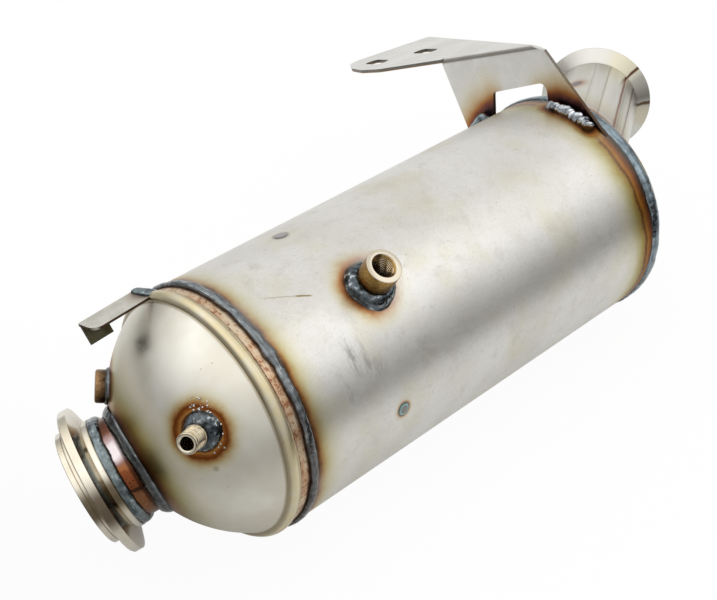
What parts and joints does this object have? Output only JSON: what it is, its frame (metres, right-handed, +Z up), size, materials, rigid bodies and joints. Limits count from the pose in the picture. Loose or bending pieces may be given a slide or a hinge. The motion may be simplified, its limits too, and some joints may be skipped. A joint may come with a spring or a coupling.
{
  "type": "diesel particulate filter",
  "caption": "Welded stainless exhaust filter can with an angled band-clamp inlet, a flared outlet pipe, sensor ports and a slotted mounting bracket.",
  "frame": {"origin": "centre of the inlet flange's sealing face, where the centring spigot begins", "axes": "+X along the can from inlet to outlet, +Z up with the can lying level, +Y to the far side where the bracket's arm reaches"},
  "size_m": [0.5159, 0.3179, 0.1881],
  "materials": {
    "shell_steel": "satin stainless sheet, faintly rolled along the can",
    "inlet_cone_steel": "bright stainless with straw heat tint",
    "outlet_cone_steel": "satin stainless, unseen side",
    "neck_steel": "stainless tube, copper to brown heat tint",
    "flange_steel": "turned stainless, gold heat tint",
    "pipe_steel": "satin drawn tube",
    "bracket_steel": "satin plate with dark cut edges",
    "boss_steel": "turned steel, bronze tint",
    "inlet_boss_steel": "turned steel, dark bronze tint",
    "nipple_steel": "turned and threaded steel",
    "clip_steel": "satin strip, dark inside the fold",
    "weld_dark": "oxidised weld bead",
    "weld_bright": "bright weld bead",
    "plug_weld_steel": "ground-flat plug weld with a dark rim",
    "mat_fibre": "pressed ceramic fibre",
    "catalyst_ceramic": "coated cordierite honeycomb",
    "filter_ceramic": "silicon carbide honeycomb"
  },
  "bodies": {
    "root": {"inlet_flange": "flange_steel", "flange_weld": "weld_dark", "inlet_neck": "neck_steel", "neck_weld": "weld_dark", "inlet_cone": "inlet_cone_steel", "inlet_seam_weld": "weld_dark", "shell": "shell_steel", "outlet_seam_weld": "weld_dark", "outlet_cone": "outlet_cone_steel", "outlet_pipe_weld": "weld_dark", "outlet_pipe": "pipe_steel", "mounting_bracket": "bracket_steel", "bracket_weld_near": "weld_bright", "bracket_weld_far": "weld_dark", "temperature_boss": "boss_steel", "temperature_boss_weld": "weld_dark", "inlet_boss": "inlet_boss_steel", "inlet_boss_weld": "weld_dark", "pressure_nipple": "nipple_steel", "nipple_weld": "weld_dark", "cable_clip": "clip_steel", "clip_weld": "weld_bright", "plug_welds": "plug_weld_steel", "retaining_ring": "outlet_cone_steel", "catalyst_mat": "mat_fibre", "catalyst_brick": "catalyst_ceramic", "filter_mat": "mat_fibre", "filter_brick": "filter_ceramic"}
  },
  "joints": []
}
